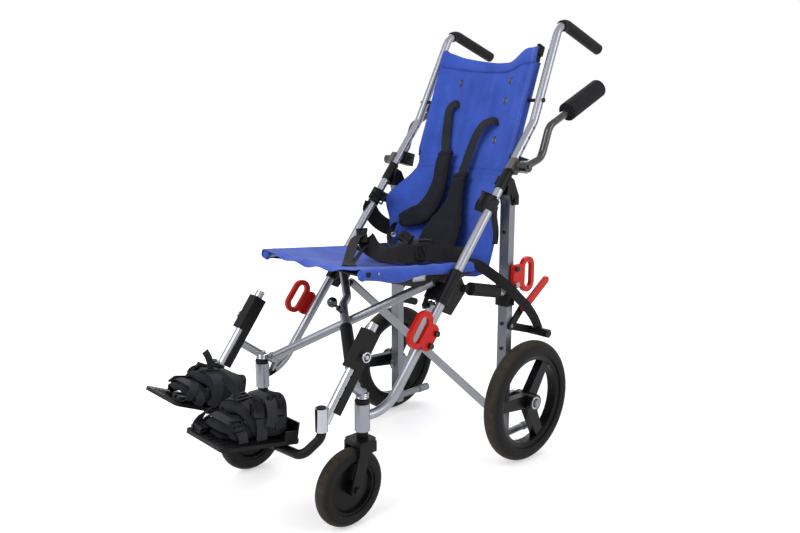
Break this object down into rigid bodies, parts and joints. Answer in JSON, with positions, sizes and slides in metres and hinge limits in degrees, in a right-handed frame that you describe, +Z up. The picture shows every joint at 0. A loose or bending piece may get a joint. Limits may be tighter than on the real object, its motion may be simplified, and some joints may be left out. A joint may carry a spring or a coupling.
{
  "type": "special needs buggy",
  "caption": "Folding push buggy with a slung fabric seat and back, harness, scissor frame, swivel casters, braked rear wheels and telescopic footrests.",
  "frame": {"origin": "on the floor under the middle of the bounding box", "axes": "+Z up, front at -Y, +X to the buggy's left"},
  "size_m": [0.5768, 1.212, 1.1312],
  "materials": {
    "silver": "satin silver lacquer",
    "leg": "dark blue-grey satin lacquer",
    "black": "black moulded plastic",
    "red": "bright red enamel",
    "rubber": "black rubber",
    "tyre": "dark solid tyre",
    "chrome": "bright chrome",
    "bronze": "bronze-grey lacquer",
    "cloth": "royal blue woven nylon",
    "webbing": "black webbing and padding"
  },
  "bodies": {
    "frame_right": {"main_tube_right": "silver", "hand_grip_right": "rubber", "upper_bracket_right": "black", "rear_leg_right": "leg", "front_loop_right": "red", "rear_loop_right": "red", "footrest_rail_right": "black", "armrest_clamp_right": "bronze", "back_stay_right": "black", "back_sling": "cloth", "shoulder_harness": "webbing"},
    "frame_left": {"main_tube_left": "silver", "hand_grip_left": "rubber", "upper_bracket_left": "black", "rear_leg_left": "leg", "front_loop_left": "red", "rear_loop_left": "red", "footrest_rail_left": "black", "armrest_clamp_left": "bronze", "back_stay_left": "black"},
    "slider_right": {"slider_right": "black", "seat_rail_right": "silver", "seat_sling": "cloth", "lap_belt": "webbing"},
    "slider_left": {"slider_left": "black", "seat_rail_left": "silver"},
    "front_link_right": {"front_link_right": "silver"},
    "front_link_left": {"front_link_left": "silver", "link_sleeve": "rubber"},
    "lock_knob": {"lock_knob": "black"},
    "rear_bar_right": {"rear_bar_right": "silver"},
    "strut_right": {"strut_right": "rubber"},
    "rear_wheel_right": {"rear_rim_right": "black", "rear_tyre_right": "tyre"},
    "brake_right": {"brake_arm_right": "black", "brake_lever_right": "red"},
    "armrest_right": {"armrest_tube_right": "black", "armrest_pad_right": "rubber"},
    "caster_fork_right": {"caster_fork_right": "black"},
    "caster_wheel_right": {"caster_rim_right": "black", "caster_tyre_right": "tyre"},
    "footrest_right": {"footrest_tube_right": "chrome"},
    "footplate_right": {"footplate_right": "black", "shoe_holder_right": "webbing"},
    "ring_pin_right": {"ring_pin_right": "chrome"},
    "rear_bar_left": {"rear_bar_left": "silver"},
    "strut_left": {"strut_left": "rubber"},
    "rear_wheel_left": {"rear_rim_left": "black", "rear_tyre_left": "tyre"},
    "brake_left": {"brake_arm_left": "black", "brake_lever_left": "red"},
    "armrest_left": {"armrest_tube_left": "black", "armrest_pad_left": "rubber"},
    "caster_fork_left": {"caster_fork_left": "black"},
    "caster_wheel_left": {"caster_rim_left": "black", "caster_tyre_left": "tyre"},
    "footrest_left": {"footrest_tube_left": "chrome"},
    "footplate_left": {"footplate_left": "black", "shoe_holder_left": "webbing"},
    "ring_pin_left": {"ring_pin_left": "chrome"}
  },
  "joints": [
    {"name": "fold", "type": "slide", "parent": "frame_right", "child": "frame_left", "axis": [-1, 0, 0], "range_m": [0, 0.16], "deforming": ["seat_sling", "back_sling", "shoulder_harness", "lap_belt"]},
    {"name": "slider_right_lift", "type": "slide", "parent": "frame_right", "child": "slider_right", "axis": [0, 0.6266, 0.7793], "range_m": [0, 0.1124]},
    {"name": "front_link_right_turn", "type": "hinge", "parent": "frame_right", "child": "front_link_right", "pos_m": [-0.172, -0.253, 0.287], "axis": [0.0573, -0.7242, 0.6872], "range_deg": [0, 25.13]},
    {"name": "rear_bar_right_turn", "type": "hinge", "parent": "slider_right", "child": "rear_bar_right", "pos_m": [-0.1595, -0.00556, 0.4432], "axis": [-0.4393, 0.8883, 0.1342], "range_deg": [0, 24.31]},
    {"name": "strut_right_turn", "type": "hinge", "parent": "slider_right", "child": "strut_right", "pos_m": [-0.216, 0.03685, 0.48319], "axis": [1, 0, 0], "range_deg": [-42.6, 0]},
    {"name": "footplate_right_swing", "type": "hinge", "parent": "footrest_right", "child": "footplate_right", "pos_m": [-0.214, -0.3964, 0.275], "axis": [0, 0, -1], "range_deg": [0, 48.1]},
    {"name": "rear_wheel_right_spin", "type": "hinge", "parent": "frame_right", "child": "rear_wheel_right", "pos_m": [-0.252, 0.245, 0.159], "axis": [1, 0, 0], "continuous": true},
    {"name": "brake_right_turn", "type": "hinge", "parent": "frame_right", "child": "brake_right", "pos_m": [-0.218, 0.214, 0.358], "axis": [1, 0, 0], "range_deg": [-7, 0]},
    {"name": "armrest_right_flip", "type": "hinge", "parent": "frame_right", "child": "armrest_right", "pos_m": [-0.2431, 0.222, 0.764], "axis": [1, 0, 0], "range_deg": [0, 145]},
    {"name": "caster_right_swivel", "type": "hinge", "parent": "frame_right", "child": "caster_fork_right", "pos_m": [-0.194, -0.269, 0.2], "axis": [0, 0, 1], "continuous": true},
    {"name": "caster_right_spin", "type": "hinge", "parent": "caster_fork_right", "child": "caster_wheel_right", "pos_m": [-0.194, -0.309, 0.089], "axis": [1, 0, 0], "continuous": true},
    {"name": "footrest_right_slide", "type": "slide", "parent": "frame_right", "child": "footrest_right", "axis": [0, -0.5962, -0.8028], "range_m": [-0.02, 0.025]},
    {"name": "ring_pin_right_pull", "type": "slide", "parent": "frame_right", "child": "ring_pin_right", "axis": [-1, 0, 0], "range_m": [0, 0.006], "stiffness_N_per_m": 300},
    {"name": "slider_left_lift", "type": "slide", "parent": "frame_left", "child": "slider_left", "axis": [0, 0.6266, 0.7793], "range_m": [0, 0.1124]},
    {"name": "front_link_left_turn", "type": "hinge", "parent": "frame_left", "child": "front_link_left", "pos_m": [0.172, -0.253, 0.287], "axis": [0.0573, 0.7242, -0.6872], "range_deg": [0, 25.13]},
    {"name": "rear_bar_left_turn", "type": "hinge", "parent": "slider_left", "child": "rear_bar_left", "pos_m": [0.1595, -0.00556, 0.4432], "axis": [-0.4393, -0.8883, -0.1342], "range_deg": [0, 24.31]},
    {"name": "strut_left_turn", "type": "hinge", "parent": "slider_left", "child": "strut_left", "pos_m": [0.216, 0.03685, 0.48319], "axis": [1, 0, 0], "range_deg": [-42.6, 0]},
    {"name": "footplate_left_swing", "type": "hinge", "parent": "footrest_left", "child": "footplate_left", "pos_m": [0.214, -0.3964, 0.275], "axis": [0, 0, 1], "range_deg": [0, 48.1]},
    {"name": "rear_wheel_left_spin", "type": "hinge", "parent": "frame_left", "child": "rear_wheel_left", "pos_m": [0.252, 0.245, 0.159], "axis": [1, 0, 0], "continuous": true},
    {"name": "brake_left_turn", "type": "hinge", "parent": "frame_left", "child": "brake_left", "pos_m": [0.218, 0.214, 0.358], "axis": [1, 0, 0], "range_deg": [-7, 0]},
    {"name": "armrest_left_flip", "type": "hinge", "parent": "frame_left", "child": "armrest_left", "pos_m": [0.2431, 0.222, 0.764], "axis": [1, 0, 0], "range_deg": [0, 145]},
    {"name": "caster_left_swivel", "type": "hinge", "parent": "frame_left", "child": "caster_fork_left", "pos_m": [0.194, -0.269, 0.2], "axis": [0, 0, 1], "continuous": true},
    {"name": "caster_left_spin", "type": "hinge", "parent": "caster_fork_left", "child": "caster_wheel_left", "pos_m": [0.194, -0.309, 0.089], "axis": [1, 0, 0], "continuous": true},
    {"name": "footrest_left_slide", "type": "slide", "parent": "frame_left", "child": "footrest_left", "axis": [0, -0.5962, -0.8028], "range_m": [-0.02, 0.025]},
    {"name": "ring_pin_left_pull", "type": "slide", "parent": "frame_left", "child": "ring_pin_left", "axis": [1, 0, 0], "range_m": [0, 0.006], "stiffness_N_per_m": 300},
    {"name": "lock_knob_pull", "type": "slide", "parent": "front_link_left", "child": "lock_knob", "axis": [-0.0573, -0.7242, 0.6872], "range_m": [0, 0.008], "stiffness_N_per_m": 300}
  ],
  "couplings": [
    {"joint": "slider_right_lift", "follows": "fold", "ratio": 0.70142},
    {"joint": "front_link_right_turn", "follows": "fold", "rad_per_m": 2.7307},
    {"joint": "rear_bar_right_turn", "follows": "fold", "rad_per_m": 2.6407},
    {"joint": "strut_right_turn", "follows": "fold", "rad_per_m": -4.6349},
    {"joint": "footplate_right_swing", "follows": "fold", "rad_per_m": 5.236},
    {"joint": "slider_left_lift", "follows": "fold", "ratio": 0.70142},
    {"joint": "front_link_left_turn", "follows": "fold", "rad_per_m": 2.7307},
    {"joint": "rear_bar_left_turn", "follows": "fold", "rad_per_m": 2.6407},
    {"joint": "strut_left_turn", "follows": "fold", "rad_per_m": -4.6349},
    {"joint": "footplate_left_swing", "follows": "fold", "rad_per_m": 5.236}
  ]
}
